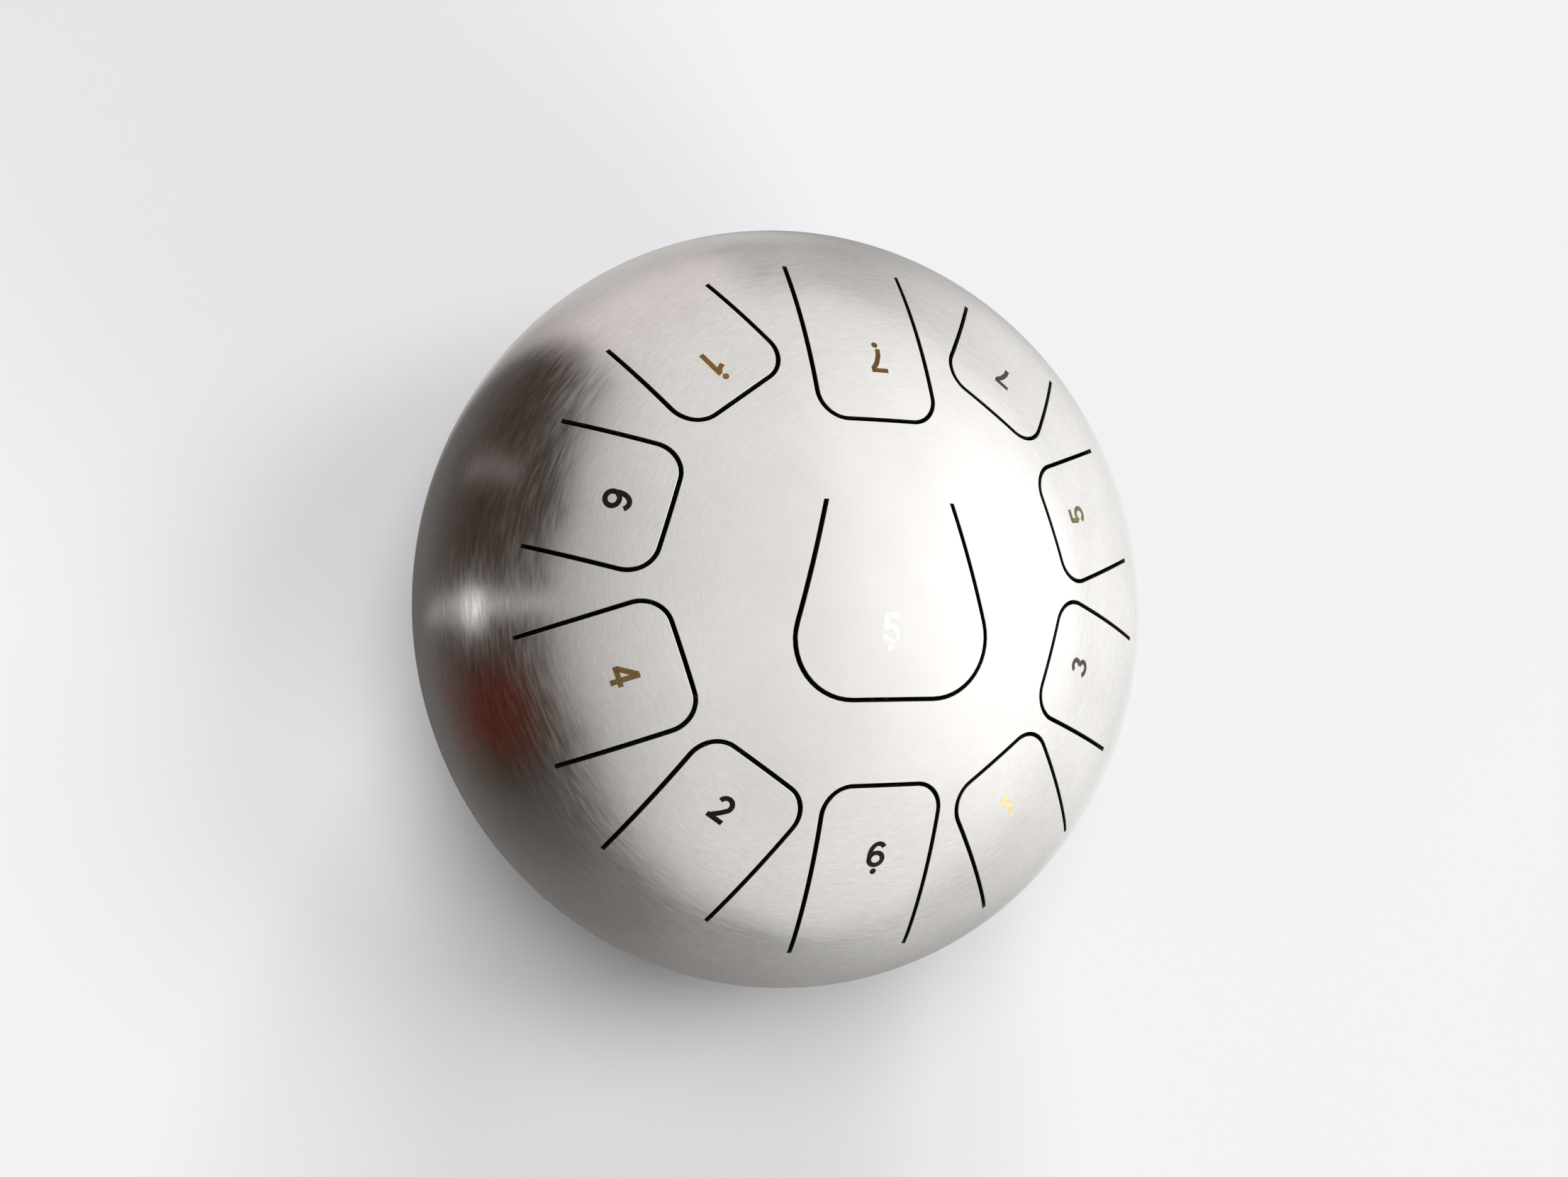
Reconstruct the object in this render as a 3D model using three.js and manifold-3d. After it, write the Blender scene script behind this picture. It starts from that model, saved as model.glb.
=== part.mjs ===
// Steel tongue drum: two pressed shells joined by a rim weld, eleven cut tongues and three screwed feet.
// Millimetres, +Z up. The feet stand on z = 0 and the drum's axis is the Z axis.
import * as THREE from 'three';
import { mergeVertices } from 'three/addons/utils/BufferGeometryUtils.js';
import Module from 'manifold-3d';

// Shells
const DRUM_RADIUS = 77.5;
const WALL = 1.5;
const CROWN_RADIUS = 105.5;
const TOP_SHOULDER_RADIUS = 33;
const WELD_HEIGHT = 2.4;
const SOUND_HOLE_RADIUS = 22;

// Ring tongues, each filling its sector with its root towards the rim and its tip towards the centre
const SLOT_WIDTH = 0.85;
const TIP_CORNER_RADIUS = 5.2;
const WEB_AT_TIPS = 4.7;
const ROOT_FLARE = 0.25;
const LOW_6_LENGTH = 31.5;
const NOTE_1_LENGTH = 27.8;
const NOTE_3_LENGTH = 26.1;
const NOTE_5_LENGTH = 23;
const NOTE_7_LENGTH = 20.8;
const LOW_7_LENGTH = 32.3;
const HIGH_1_LENGTH = 20.3;
const NOTE_6_LENGTH = 20.8;
const NOTE_4_LENGTH = 24.1;
const NOTE_2_LENGTH = 26;

// Land between each ring tongue's root and the rim, in plan
const LOW_6_RIM_LAND = 10.7;
const NOTE_1_RIM_LAND = 10.5;
const NOTE_3_RIM_LAND = 14.1;
const NOTE_5_RIM_LAND = 15.5;
const NOTE_7_RIM_LAND = 13.8;
const LOW_7_RIM_LAND = 14.6;
const HIGH_1_RIM_LAND = 14.5;
const NOTE_6_RIM_LAND = 15.5;
const NOTE_4_RIM_LAND = 14.2;
const NOTE_2_RIM_LAND = 12.5;

// The ring in order, counter-clockwise from the tongue nearest the player
const FIRST_TURN_DEG = -90;
const RING_TONGUES = [
  { note: 'low_6', rimLand: LOW_6_RIM_LAND, length: LOW_6_LENGTH },
  { note: '1', rimLand: NOTE_1_RIM_LAND, length: NOTE_1_LENGTH },
  { note: '3', rimLand: NOTE_3_RIM_LAND, length: NOTE_3_LENGTH },
  { note: '5', rimLand: NOTE_5_RIM_LAND, length: NOTE_5_LENGTH },
  { note: '7', rimLand: NOTE_7_RIM_LAND, length: NOTE_7_LENGTH },
  { note: 'low_7', rimLand: LOW_7_RIM_LAND, length: LOW_7_LENGTH },
  { note: 'high_1', rimLand: HIGH_1_RIM_LAND, length: HIGH_1_LENGTH },
  { note: '6', rimLand: NOTE_6_RIM_LAND, length: NOTE_6_LENGTH },
  { note: '4', rimLand: NOTE_4_RIM_LAND, length: NOTE_4_LENGTH },
  { note: '2', rimLand: NOTE_2_RIM_LAND, length: NOTE_2_LENGTH },
];

// Centre tongue, with its root towards +Y
const CENTRE_ROOT_REACH = 15.4;
const CENTRE_TIP_REACH = 20.1;
const CENTRE_TIP_HALF_WIDTH = 22.1;
const CENTRE_NECK_HALF_WIDTH = 12.4;
const CENTRE_CORNER_RADIUS = 10.9;

// Feet and their fasteners
const FOOT_COUNT = 3;
const FOOT_RADIUS = 7.5;
const FOOT_HEIGHT = 6;
const FOOT_EDGE_ROUND = 0.9;
const FOOT_FLOOR_EDGE = 1;
const FOOT_TO_HOLE = 7.5;
const SCREW_RADIUS = 1.5;
const SCREW_HEAD_RADIUS = 2.8;
const SCREW_HEAD_HEIGHT = 1.6;
const SCREW_SOCKET_RADIUS = 1.2;
const SCREW_SOCKET_DEPTH = 0.9;
const SCREW_PAST_NUT = 0.9;
const WASHER_RADIUS = 4.3;
const WASHER_THICKNESS = 0.8;
const HEAD_RECESS = 0.6;
const NUT_ACROSS_FLATS = 5.5;
const NUT_HEIGHT = 2.4;

// Clearances
const SEAT_GAP = 0.3;
const HOLE_CLEARANCE = 0.3;
const ROOT_GAP = 0.3;
const CUT_MARGIN = 5;

// Facets
const SHELL_SEGMENTS = 60;
const CROWN_STEPS = 8;
const SHOULDER_STEPS = 6;
const SMALL_SEGMENTS = 20;
const CORNER_STEPS = 6;
const FOOT_EDGE_STEPS = 3;
const MERGE_DISTANCE = 1e-4;

// Derived levels and radii
const FLOOR_RADIUS = SOUND_HOLE_RADIUS + FOOT_TO_HOLE + 2 * FOOT_RADIUS + FOOT_FLOOR_EDGE;
const FOOT_PITCH_RADIUS = FLOOR_RADIUS - FOOT_FLOOR_EDGE - FOOT_RADIUS;
const BASE_SHOULDER_RADIUS = DRUM_RADIUS - FLOOR_RADIUS;
const FLOOR_Z = FOOT_HEIGHT + SEAT_GAP;
const RIM_Z = FLOOR_Z + BASE_SHOULDER_RADIUS;
const WELD_REACH = WELD_HEIGHT / 2 + SEAT_GAP;
const CROWN_CENTRE_DROP = Math.sqrt(
  (CROWN_RADIUS - TOP_SHOULDER_RADIUS) ** 2 - (DRUM_RADIUS - TOP_SHOULDER_RADIUS) ** 2,
);
const CROWN_CENTRE_Z = RIM_Z - CROWN_CENTRE_DROP;
const APEX_Z = CROWN_CENTRE_Z + CROWN_RADIUS;
const SHOULDER_START = Math.atan2(CROWN_CENTRE_DROP, DRUM_RADIUS - TOP_SHOULDER_RADIUS);
const HALF_SECTOR = Math.PI / RING_TONGUES.length;

const wasm = await Module();
wasm.setup();

const steel = { color: 0xc9c7c4, roughness: 0.35, metalness: 1 };
const weldSteel = { color: 0xbdbbb8, roughness: 0.45, metalness: 1 };
const zincSteel = { color: 0xaeb2b6, roughness: 0.3, metalness: 1 };
const blackRubber = { color: 0x1b1b1c, roughness: 0.85, metalness: 0 };

// Solids and cuts
function toSolid(geometry) {
  const bare = geometry.clone();
  bare.deleteAttribute('normal');
  bare.deleteAttribute('uv');
  const merged = mergeVertices(bare, MERGE_DISTANCE);
  const corners = merged.index.array;
  const kept = [];
  for (let i = 0; i < corners.length; i += 3) {
    const [a, b, c] = corners.slice(i, i + 3);
    if (a !== b && b !== c && c !== a) kept.push(a, b, c);
  }
  return new wasm.Manifold(new wasm.Mesh({
    numProp: 3,
    vertProperties: new Float32Array(merged.attributes.position.array),
    triVerts: new Uint32Array(kept),
  }));
}

function toGeometry(solid) {
  const mesh = solid.getMesh();
  const geometry = new THREE.BufferGeometry();
  geometry.setAttribute('position', new THREE.BufferAttribute(new Float32Array(mesh.vertProperties), 3));
  geometry.setIndex(Array.from(mesh.triVerts));
  geometry.computeVertexNormals();
  return geometry;
}

function arcPoints(centreR, centreZ, radius, from, to, steps) {
  const points = [];
  for (let i = 0; i <= steps; i += 1) {
    const angle = from + ((to - from) * i) / steps;
    points.push(new THREE.Vector2(centreR + radius * Math.cos(angle), centreZ + radius * Math.sin(angle)));
  }
  return points;
}

// A closed profile of radius and height, turned about the Z axis
function turned(points, segments) {
  const loop = [...points, points[0].clone()];
  return new THREE.LatheGeometry(loop, segments).rotateX(Math.PI / 2);
}

function turnedSolid(points, segments) {
  const solid = toSolid(turned(points, segments));
  if (solid.volume() > 0) return solid;
  return toSolid(turned([...points].reverse(), segments));
}

function rings(pairs) {
  return pairs.map(([r, z]) => new THREE.Vector2(r, z));
}

function prism(shape, bottom, top) {
  const geometry = new THREE.ExtrudeGeometry(shape, {
    depth: top - bottom,
    bevelEnabled: false,
    curveSegments: CORNER_STEPS,
  });
  return geometry.translate(0, 0, bottom);
}

function hexagon(acrossFlats) {
  const corner = acrossFlats / Math.sqrt(3);
  const points = [];
  for (let i = 0; i < 6; i += 1) {
    const angle = (i * Math.PI) / 3;
    points.push(new THREE.Vector2(corner * Math.cos(angle), corner * Math.sin(angle)));
  }
  return new THREE.Shape(points);
}

// Tongue outlines, in plan, with u running from the tip to the root
const WIDTH_TIP = DRUM_RADIUS - NOTE_2_RIM_LAND - NOTE_2_LENGTH;
const RING_HALF_WIDTH = (WIDTH_TIP + TIP_CORNER_RADIUS) * Math.tan(HALF_SECTOR)
  - (WEB_AT_TIPS + SLOT_WIDTH) / 2;

const tongues = RING_TONGUES.map(({ note, rimLand, length }, i) => ({
  note,
  turn: THREE.MathUtils.degToRad(FIRST_TURN_DEG) + 2 * HALF_SECTOR * i,
  root: DRUM_RADIUS - rimLand,
  tip: DRUM_RADIUS - rimLand - length,
  rootHalf: RING_HALF_WIDTH + ROOT_FLARE,
  tipHalf: RING_HALF_WIDTH,
  corner: TIP_CORNER_RADIUS,
}));

tongues.push({
  note: 'low_5',
  turn: Math.PI / 2,
  root: CENTRE_ROOT_REACH,
  tip: -CENTRE_TIP_REACH,
  rootHalf: CENTRE_NECK_HALF_WIDTH,
  tipHalf: CENTRE_TIP_HALF_WIDTH,
  corner: CENTRE_CORNER_RADIUS,
});

// The tongue's outline moved outwards by a distance from the middle of its slot, closed at the root
function tongueShape({ root, tip, rootHalf, tipHalf, corner }, outwards, rootBack) {
  const slope = Math.atan2(tipHalf - rootHalf, root - tip);
  const radius = corner + outwards;
  const edge = tip - outwards;
  const rootEdge = root - rootBack;
  const sideAt = (u) => rootHalf + (root - u) * Math.tan(slope) + outwards / Math.cos(slope);
  const centreU = edge + radius;
  const centreV = sideAt(centreU) - radius / Math.cos(slope);
  const sideAngle = Math.PI / 2 - slope;
  const shape = new THREE.Shape();
  shape.moveTo(rootEdge, -sideAt(rootEdge));
  shape.lineTo(rootEdge, sideAt(rootEdge));
  shape.absarc(centreU, centreV, radius, sideAngle, Math.PI, false);
  shape.absarc(centreU, -centreV, radius, -Math.PI, -sideAngle, false);
  shape.closePath();
  return shape;
}

function tonguePrism(tongue, outwards, rootBack) {
  const shape = tongueShape(tongue, outwards, rootBack);
  return toSolid(prism(shape, RIM_Z, APEX_Z + CUT_MARGIN).rotateZ(tongue.turn));
}

// Shells
function topShellBlank() {
  const shoulderR = DRUM_RADIUS - TOP_SHOULDER_RADIUS;
  const inset = TOP_SHOULDER_RADIUS - WALL;
  const outerEnd = Math.asin(WELD_REACH / TOP_SHOULDER_RADIUS);
  const innerEnd = Math.asin(WELD_REACH / inset);
  const crown = arcPoints(0, CROWN_CENTRE_Z, CROWN_RADIUS, Math.PI / 2, SHOULDER_START, CROWN_STEPS);
  const innerRadius = CROWN_RADIUS - WALL;
  const innerCrown = arcPoints(0, CROWN_CENTRE_Z, innerRadius, SHOULDER_START, Math.PI / 2, CROWN_STEPS);
  crown[0].x = 0;
  innerCrown[CROWN_STEPS].x = 0;
  return turnedSolid([
    ...crown,
    ...arcPoints(shoulderR, RIM_Z, TOP_SHOULDER_RADIUS, SHOULDER_START, outerEnd, SHOULDER_STEPS).slice(1),
    ...arcPoints(shoulderR, RIM_Z, inset, innerEnd, SHOULDER_START, SHOULDER_STEPS),
    ...innerCrown.slice(1),
  ], SHELL_SEGMENTS);
}

function bottomShell() {
  const inset = BASE_SHOULDER_RADIUS - WALL;
  const down = -Math.PI / 2;
  const outerEnd = -Math.asin(WELD_REACH / BASE_SHOULDER_RADIUS);
  const innerEnd = -Math.asin(WELD_REACH / inset);
  let shell = turnedSolid([
    ...rings([[SOUND_HOLE_RADIUS, FLOOR_Z + WALL], [SOUND_HOLE_RADIUS, FLOOR_Z]]),
    ...arcPoints(FLOOR_RADIUS, RIM_Z, BASE_SHOULDER_RADIUS, down, outerEnd, SHOULDER_STEPS),
    ...arcPoints(FLOOR_RADIUS, RIM_Z, inset, innerEnd, down, SHOULDER_STEPS),
  ], SHELL_SEGMENTS);
  for (const place of footPlaces()) {
    const hole = new THREE.CylinderGeometry(
      SCREW_RADIUS + HOLE_CLEARANCE,
      SCREW_RADIUS + HOLE_CLEARANCE,
      WALL + 2 * CUT_MARGIN,
      SMALL_SEGMENTS,
    );
    hole.rotateX(Math.PI / 2).translate(place.x, place.y, FLOOR_Z);
    shell = shell.subtract(toSolid(hole));
  }
  return shell;
}

function rimWeld() {
  return turnedSolid(rings([
    [DRUM_RADIUS - WALL, RIM_Z - WELD_HEIGHT / 2],
    [DRUM_RADIUS, RIM_Z - WELD_HEIGHT / 2],
    [DRUM_RADIUS, RIM_Z + WELD_HEIGHT / 2],
    [DRUM_RADIUS - WALL, RIM_Z + WELD_HEIGHT / 2],
  ]), SHELL_SEGMENTS);
}

// Feet, with the screw head and washer sunk into each foot from below
const HEAD_TOP_Z = HEAD_RECESS + SCREW_HEAD_HEIGHT;
const WASHER_Z = HEAD_TOP_Z + SEAT_GAP;
const POCKET_TOP_Z = WASHER_Z + WASHER_THICKNESS + SEAT_GAP;
const NUT_Z = FLOOR_Z + WALL + SEAT_GAP;

function footPlaces() {
  const places = [];
  for (let i = 0; i < FOOT_COUNT; i += 1) {
    const angle = Math.PI / 2 + (2 * Math.PI * i) / FOOT_COUNT;
    places.push(new THREE.Vector3(Math.cos(angle), Math.sin(angle), 0).multiplyScalar(FOOT_PITCH_RADIUS));
  }
  return places;
}

function foot() {
  const pocket = WASHER_RADIUS + HOLE_CLEARANCE;
  const hole = SCREW_RADIUS + HOLE_CLEARANCE;
  const inner = FOOT_RADIUS - FOOT_EDGE_ROUND;
  return turnedSolid([
    ...rings([[hole, FOOT_HEIGHT], [hole, POCKET_TOP_Z], [pocket, POCKET_TOP_Z], [pocket, 0]]),
    ...arcPoints(inner, FOOT_EDGE_ROUND, FOOT_EDGE_ROUND, -Math.PI / 2, 0, FOOT_EDGE_STEPS),
    ...arcPoints(inner, FOOT_HEIGHT - FOOT_EDGE_ROUND, FOOT_EDGE_ROUND, 0, Math.PI / 2, FOOT_EDGE_STEPS),
  ], SMALL_SEGMENTS);
}

function washer() {
  const hole = SCREW_RADIUS + HOLE_CLEARANCE;
  return turnedSolid(rings([
    [hole, WASHER_Z],
    [WASHER_RADIUS, WASHER_Z],
    [WASHER_RADIUS, WASHER_Z + WASHER_THICKNESS],
    [hole, WASHER_Z + WASHER_THICKNESS],
  ]), SMALL_SEGMENTS);
}

function screw() {
  const end = NUT_Z + NUT_HEIGHT + SCREW_PAST_NUT;
  const body = turnedSolid(rings([
    [0, HEAD_RECESS],
    [SCREW_HEAD_RADIUS, HEAD_RECESS],
    [SCREW_HEAD_RADIUS, HEAD_TOP_Z],
    [SCREW_RADIUS, HEAD_TOP_Z],
    [SCREW_RADIUS, end],
    [0, end],
  ]), SMALL_SEGMENTS);
  const socketFlats = SCREW_SOCKET_RADIUS * Math.sqrt(3);
  const socket = prism(hexagon(socketFlats), HEAD_RECESS - CUT_MARGIN, HEAD_RECESS + SCREW_SOCKET_DEPTH);
  return body.subtract(toSolid(socket));
}

function nut() {
  const shape = hexagon(NUT_ACROSS_FLATS);
  const hole = new THREE.Path();
  hole.absarc(0, 0, SCREW_RADIUS + HOLE_CLEARANCE, 0, 2 * Math.PI, true);
  shape.holes.push(hole);
  return toSolid(prism(shape, NUT_Z, NUT_Z + NUT_HEIGHT));
}

// Assembly
const drum = new THREE.Group();

function addPart(name, solid, look, place = new THREE.Vector3()) {
  const mesh = new THREE.Mesh(toGeometry(solid), new THREE.MeshStandardMaterial(look));
  mesh.name = name;
  mesh.position.copy(place);
  drum.add(mesh);
}

const blank = topShellBlank();
let topShell = blank;
for (const tongue of tongues) {
  topShell = topShell.subtract(tonguePrism(tongue, SLOT_WIDTH / 2, 0));
  addPart(`tongue_${tongue.note}`, blank.intersect(tonguePrism(tongue, -SLOT_WIDTH / 2, ROOT_GAP)), steel);
}
addPart('top_shell', topShell, steel);
addPart('bottom_shell', bottomShell(), steel);
addPart('rim_weld', rimWeld(), weldSteel);

footPlaces().forEach((place, i) => {
  addPart(`foot_${i + 1}`, foot(), blackRubber, place);
  addPart(`foot_washer_${i + 1}`, washer(), zincSteel, place);
  addPart(`foot_screw_${i + 1}`, screw(), zincSteel, place);
  addPart(`foot_nut_${i + 1}`, nut(), zincSteel, place);
});

export default drum;
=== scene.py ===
"""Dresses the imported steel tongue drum: brushed shells, marked tongues, rim weld, feet and fasteners."""

import math
from types import SimpleNamespace

import bmesh
import bpy
import numpy as np
from bpy.props import FloatProperty, FloatVectorProperty, IntProperty, PointerProperty
from mathutils import Matrix, Vector
from mathutils.geometry import delaunay_2d_cdt


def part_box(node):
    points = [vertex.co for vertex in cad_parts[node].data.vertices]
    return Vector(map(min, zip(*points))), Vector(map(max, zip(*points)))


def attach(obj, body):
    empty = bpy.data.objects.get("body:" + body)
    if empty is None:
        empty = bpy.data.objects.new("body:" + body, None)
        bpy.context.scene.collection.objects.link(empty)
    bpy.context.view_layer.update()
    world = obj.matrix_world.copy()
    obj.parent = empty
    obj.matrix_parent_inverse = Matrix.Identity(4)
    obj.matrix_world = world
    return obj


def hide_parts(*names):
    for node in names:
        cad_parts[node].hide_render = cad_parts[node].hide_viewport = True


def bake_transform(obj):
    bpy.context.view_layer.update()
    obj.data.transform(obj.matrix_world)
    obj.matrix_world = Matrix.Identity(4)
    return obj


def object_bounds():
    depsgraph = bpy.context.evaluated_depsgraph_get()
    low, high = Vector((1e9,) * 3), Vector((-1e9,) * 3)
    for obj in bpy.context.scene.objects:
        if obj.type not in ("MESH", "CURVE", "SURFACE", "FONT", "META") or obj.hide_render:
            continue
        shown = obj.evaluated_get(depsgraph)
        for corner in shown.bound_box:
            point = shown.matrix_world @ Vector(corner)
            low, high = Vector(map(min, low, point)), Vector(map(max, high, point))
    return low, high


bl_info = {
    "name": "Steel Tongue Drum",
    "version": (1, 0, 0),
    "blender": (4, 5, 0),
    "location": "View3D > Sidebar > Drum",
    "description": "Builds the brushed shells, tongues, marks and feet of a small tongue drum",
    "category": "Add Mesh",
}

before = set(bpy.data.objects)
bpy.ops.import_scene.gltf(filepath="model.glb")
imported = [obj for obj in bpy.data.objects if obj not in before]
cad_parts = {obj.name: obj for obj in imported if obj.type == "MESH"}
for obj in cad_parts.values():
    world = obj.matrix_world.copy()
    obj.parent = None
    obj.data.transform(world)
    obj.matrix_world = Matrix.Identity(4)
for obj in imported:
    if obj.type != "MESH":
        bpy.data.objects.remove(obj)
CAD_BOX = [list(corner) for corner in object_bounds()]
WELD_LOW, WELD_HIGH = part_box("rim_weld")
PHOTO_WIDTH = 2212
MM = 1000.0
TINY = 1e-12
FEET = (1, 2, 3)

# Notes round the ring from the player's side, and the note in the centre
RING_NOTES = ("low_6", "1", "3", "5", "7", "low_7", "high_1", "6", "4", "2")
CENTRE_NOTE = "low_5"
FIRST_TURN = math.radians(-90)
CENTRE_TURN = math.radians(90)


def real(name, description, default, **kind):
    return FloatProperty(name=name, description=description, default=default, **kind)


def metres(name, description, default):
    return real(name, description, default, unit="LENGTH")


def paint(name, description, default):
    return FloatVectorProperty(name=name, description=description, default=default, subtype="COLOR")


class DrumSizes(bpy.types.PropertyGroup):
    """Sizes of the shells, the tongues and their marks"""

    drum_radius: metres("Drum radius", "Outer radius at the rim", CAD_BOX[1][0])
    crown_radius: metres("Crown radius", "Radius of the domed top", 0.1055)
    shoulder_radius: metres("Shoulder radius", "Radius between dome and rim", 0.033)
    floor_radius: metres("Floor radius", "Flat part of the bottom shell", 0.0455)
    floor_height: metres("Floor height", "Underside above the table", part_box("bottom_shell")[0].z)
    wall: metres("Wall", "Thickness of the steel", 0.0015)
    sound_hole_radius: metres("Sound hole radius", "Hole in the bottom shell", 0.022)
    screw_hole_radius: metres("Screw hole radius", "Holes for the foot screws", 0.0018)
    slot_width: metres("Slot width", "Width of the cut round each tongue", 0.00078)
    edge_break: metres("Edge break", "Small bevel along each cut edge", 0.00007)
    ring_half_width: metres("Ring tongue half width", "From middle line to slot middle, at the tip", 0.011586)
    root_flare: metres("Root flare", "Extra half width at a ring tongue's root", 0.00025)
    tip_corner: metres("Tip corner", "Corner radius of the ring tongues", 0.0052)
    centre_half_width: metres("Centre tongue half width", "At its tip, before rounding", 0.0221)
    centre_neck: metres("Centre tongue neck", "Half width at its root", 0.0124)
    centre_corner: metres("Centre corner", "Corner radius of the centre tongue", 0.0109)
    root_gap: metres("Root gap", "Gap that frees each tongue in the frame", 0.0003)
    mark_height: metres("Mark height", "Height of the numerals", 0.0055)
    mark_stroke: metres("Mark stroke", "Stroke width of the numerals", 0.00098)
    mark_width: real("Mark width", "Width of the numerals against the drawn width", 0.93, subtype="FACTOR")
    mark_place: real("Mark place", "Middle of the numeral, from tip to root", 0.385, subtype="FACTOR")
    mesh_step: metres("Mesh step", "Distance between points on the steel", 0.0016)
    rim_steps: IntProperty(name="Rim steps", description="Points round the rim", default=240)


class DrumFinish(bpy.types.PropertyGroup):
    """Colours of the steel, zinc, rubber and floor"""

    steel_light: paint("Steel, light", "Brushed steel along the brush lines", (0.765, 0.755, 0.742))
    steel_dark: paint("Steel, dark", "Brushed steel between the brush lines", (0.665, 0.652, 0.637))
    steel_scratch: paint("Steel, scratches", "Scratches across the brush lines", (0.92, 0.915, 0.905))
    # Dull raw steel of the inside, its dark colour painted shade of the closed drum and its slots
    raw_steel_in_painted_shade: paint("Raw steel", "Inside of the shells", (0.13, 0.127, 0.124))
    cut_steel: paint("Cut steel", "Walls of the slots", (0.30, 0.295, 0.29))
    zinc: paint("Zinc", "Plating of the fasteners", (0.62, 0.645, 0.67))
    rubber: paint("Rubber", "Feet", (0.018, 0.018, 0.019))
    floor: paint("Floor", "Table under the drum", (0.80, 0.796, 0.813))
    backdrop: paint("Backdrop", "Seen beyond the floor", (0.90, 0.898, 0.91))


class DrumStage(bpy.types.PropertyGroup):
    """Camera and light"""

    camera_place: FloatVectorProperty(
        name="Camera place", description="Where the camera stands", subtype="TRANSLATION",
        default=(-0.11346, -0.0202, 0.31827))
    camera_aim: FloatVectorProperty(
        name="Camera aim", description="Point on the floor in the middle of the picture",
        subtype="TRANSLATION", default=(0.01284, 0.00652, 0.0))
    camera_roll: real("Camera roll", "Turn about the line of sight", math.radians(0.94), subtype="ANGLE")
    camera_focus: real("Focal length", "In pixels of the photograph", 2056.1)
    light_strength: real("Studio light", "Strength of the soft lights", 1.02)
    world_strength: real("Room light", "Strength of the even light", 0.04)


# Each mark's shift in mm towards the root and to the left on the way there, and its colour: a heat tint with
# the light or dark that the numeral reflects painted in, so pale gold, near black, or white as a painted
# highlight on low_5
MARKS = {
    "low_5": (-1.0, 1.1, (0.86, 0.86, 0.85)),
    "low_6": (0.6, 0.3, (0.022, 0.020, 0.018)),
    "low_7": (-0.4, -1.6, (0.14, 0.084, 0.028)),
    "1": (-0.5, -1.0, (0.92, 0.75, 0.40)),
    "2": (-0.6, -0.9, (0.018, 0.015, 0.011)),
    "3": (-0.9, 0.1, (0.071, 0.065, 0.044)),
    "4": (0.5, -0.1, (0.21, 0.135, 0.055)),
    "5": (-0.1, 0.8, (0.17, 0.14, 0.07)),
    "6": (0.6, 0.0, (0.024, 0.019, 0.014)),
    "7": (1.8, -0.2, (0.072, 0.052, 0.030)),
    "high_1": (-0.2, -0.1, (0.21, 0.112, 0.034)),
}

# Light of the sky against the cosine of the angle from its bright point, an azimuth and height in degrees
SKY_POINT = (6, 30)
ROOM_SKY = (
    (-0.60, (0.42, 0.41, 0.40)),
    (-0.26, (0.62, 0.61, 0.595)),
    (0.03, (0.89, 0.878, 0.862)),
    (0.40, (1.01, 0.997, 0.98)),
    (0.65, (1.14, 1.126, 1.11)),
    (0.85, (1.36, 1.35, 1.34)),
    (0.93, (1.50, 1.49, 1.48)),
    (1.00, (1.85, 1.85, 1.85)),
)
# Light of the walls against the cosine of the turn from their bright side
WALL_SIDE = 5
ROOM_WALL = (
    (-0.84, (0.085, 0.076, 0.073)),
    (-0.57, (0.185, 0.175, 0.170)),
    (-0.26, (0.29, 0.282, 0.278)),
    (0.09, (0.45, 0.442, 0.438)),
    (0.42, (0.63, 0.621, 0.614)),
    (0.71, (0.83, 0.82, 0.809)),
    (1.00, (1.26, 1.25, 1.24)),
)
ROOM_PEAK = 2.0
# Things along the walls: azimuth, half width, lowest, highest and soft edge in degrees, and light
ROOM_PANELS = (
    (69, 9, -90, -2, 5, (0.62, 0.585, 0.575)),
    (102, 17.5, -90, 90, 5, (0.87, 0.80, 0.79)),
    (168.5, 48.5, -90, 90, 5, (0.054, 0.037, 0.028)),
    (149, 1.5, -28, 18, 3, (0.30, 0.26, 0.25)),
    (201, 9, -45, 28, 6, (0.085, 0.020, 0.010)),
    (178, 1.8, -55, 40, 2.5, (0.75, 0.74, 0.73)),
    (179, 2.2, -9, 7, 4, (1.75, 1.75, 1.75)),
)
# Light that the table throws up, in the same order
ROOM_GLOWS = (
    (84, 22, -90, -27, 8, (0.66, 0.635, 0.63)),
    (0, 24, -90, -20, 9, (1.05, 1.04, 1.03)),
    (178, 40, -90, -50, 14, (0.16, 0.15, 0.143)),
)
# The walls fade to the floor's light between two heights
ROOM_FLOOR = (0.19, 0.176, 0.168)
FLOOR_FADE = (-75, -8)
# Brow between walls and sky: its height changes with the turn from an azimuth
BROW_AZIMUTH, BROW_TURNS, BROW_HEIGHTS, BROW_SOFT = 184, (31, 105), (35.5, 8.5), 3.5
# Studio lights: name, azimuth, height and angle across in degrees, and strength
STUDIO_LIGHTS = (
    ("window_light", 73, 8, 14, 3.25),
    ("back_light", 89, 12, 14, 1.53),
    ("front_light", 315, 9, 33, 2.46),
    ("top_light", 113, 69, 44, 1.66),
    ("right_light", 21, 44, 26, 0.80),
)
# Floor, and a nearly black disc of painted shade that the slots and the sound hole look down on: name,
# radius, height, shade
PAINTED_SHADE_DISC = "painted_shade_disc"
FLOORS = (("pale_floor", 6.0, 0.0, 1.0), (PAINTED_SHADE_DISC, 0.032, 0.0002, 0.01))
FLOOR_POINTS = 96
CAMERA_CLIP = 0.01


# Numerals as strokes in a box of height 1, with x to the right and y up

NUMERAL_MIDDLE = (0.35, 0.5)
ARC_POINTS = 14
DOT_RISE = 0.66
DOT_RADIUS = 0.115
DOT_POINTS = 24


def arc(cx, cy, rx, ry, start, end):
    turns = np.radians(np.linspace(start, end, ARC_POINTS))
    return np.c_[cx + rx * np.cos(turns), cy + ry * np.sin(turns)]


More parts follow.
